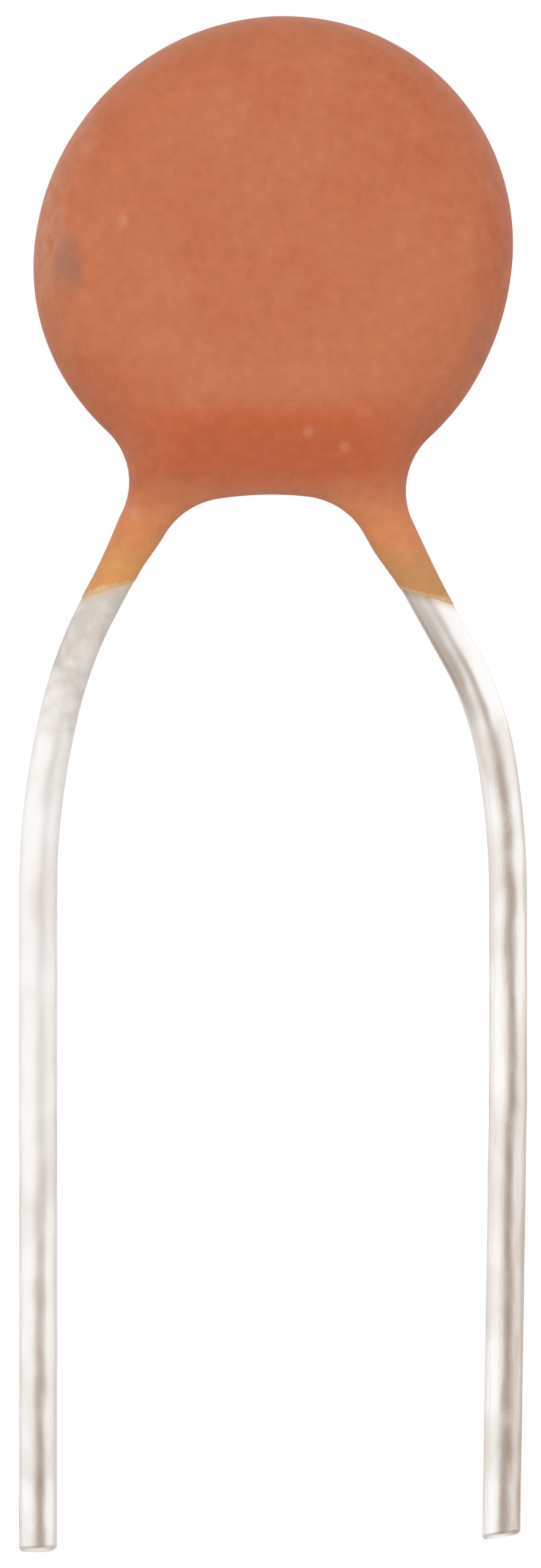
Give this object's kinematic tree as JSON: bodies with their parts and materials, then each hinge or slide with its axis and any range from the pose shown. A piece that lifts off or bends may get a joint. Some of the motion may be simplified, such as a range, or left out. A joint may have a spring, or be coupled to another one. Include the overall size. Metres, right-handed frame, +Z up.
{
  "type": "ceramic disc capacitor",
  "caption": "Small dipped ceramic disc capacitor: a flat round coated body with short coated legs and formed tinned wire leads for through-hole soldering.",
  "frame": {"origin": "midway between the two leads, on the board plane at the top of their straight legs", "axes": "+Z up along the leads to the disc, +X from the left lead to the right one, -Y towards the front face"},
  "size_m": [0.0054, 0.002, 0.0165],
  "materials": {
    "ceramic": "fired, bare",
    "silver": "fired silver, matte",
    "solder": "dull solder",
    "tinned_wire": "bright hot-dip tin",
    "coat": "matte dipped phenolic resin"
  },
  "bodies": {
    "root": {"ceramic_disc": "ceramic", "front_electrode": "silver", "rear_electrode": "silver", "front_solder": "solder", "rear_solder": "solder", "left_lead": "tinned_wire", "right_lead": "tinned_wire", "coating": "coat"}
  },
  "joints": []
}
